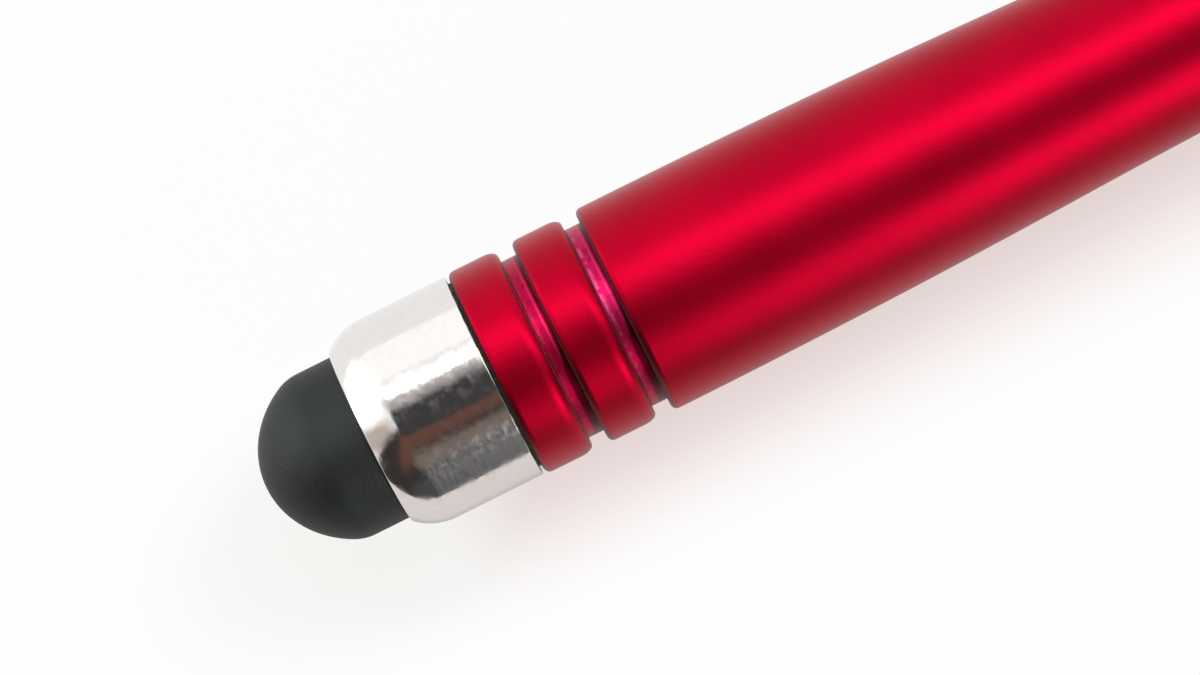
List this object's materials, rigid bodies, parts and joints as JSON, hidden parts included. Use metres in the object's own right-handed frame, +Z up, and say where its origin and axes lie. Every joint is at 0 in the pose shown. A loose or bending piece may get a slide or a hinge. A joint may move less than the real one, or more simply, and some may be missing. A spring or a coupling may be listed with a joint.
{
  "type": "stylus pen",
  "caption": "Twist-action ballpoint pen in satin red metal, with a black rubber stylus dome in a chrome ferrule, ring grooves, a pocket clip, a centre ring and a chrome nose",
  "frame": {"origin": "below mid length on the plane of symmetry, level with the crest of the clip that the pen lies on", "axes": "+X along the pen's axis from the stylus dome to the writing point, +Z up away from the clip"},
  "size_m": [0.138, 0.01, 0.0122],
  "materials": {
    "rubber": "matte moulded rubber",
    "chrome": "polished plating",
    "red_anodised": "satin red anodising",
    "brass": "turned",
    "black_plastic": "moulded",
    "white_plastic": "moulded",
    "steel": "drawn",
    "carbide": "ground",
    "ink": "thick paste"
  },
  "bodies": {
    "upper_half": {"stylus_dome": "rubber", "stylus_insert": "brass", "ferrule": "chrome", "head_gasket": "rubber", "end_bush": "black_plastic", "upper_barrel": "red_anodised", "drive_bush": "black_plastic", "cam_sleeve": "white_plastic"},
    "lower_half": {"coupling": "brass", "retaining_ring": "steel", "drag_ring": "rubber", "centre_ring": "chrome", "thread_bush": "brass", "lower_barrel": "red_anodised", "nose_cone": "chrome", "return_spring": "steel"},
    "refill": {"cam_follower": "white_plastic", "refill_tube": "steel", "refill_plug": "white_plastic", "ink": "ink", "refill_tip": "steel"},
    "ball": {"ball": "carbide"},
    "clip": {"clip": "chrome"}
  },
  "joints": [
    {"name": "twist", "type": "hinge", "parent": "upper_half", "child": "lower_half", "pos_m": [0.00099, 0, 0.00725], "axis": [1, 0, 0], "range_deg": [0, 180]},
    {"name": "refill_feed", "type": "slide", "parent": "lower_half", "child": "refill", "axis": [1, 0, 0], "range_m": [0, 0.005], "deforming": ["return_spring"]},
    {"name": "ball_roll", "type": "hinge", "parent": "refill", "child": "ball", "pos_m": [0.06649, 0, 0.00725], "axis": [0, 1, 0], "continuous": true},
    {"name": "clip_flex", "type": "hinge", "parent": "upper_half", "child": "clip", "pos_m": [-0.04542, 0, 0.00295], "axis": [0, 1, 0], "range_deg": [0, 4], "stiffness_Nm_per_rad": 1.2}
  ],
  "couplings": [
    {"joint": "twist", "follows": "refill_feed", "rad_per_m": 628.32}
  ]
}
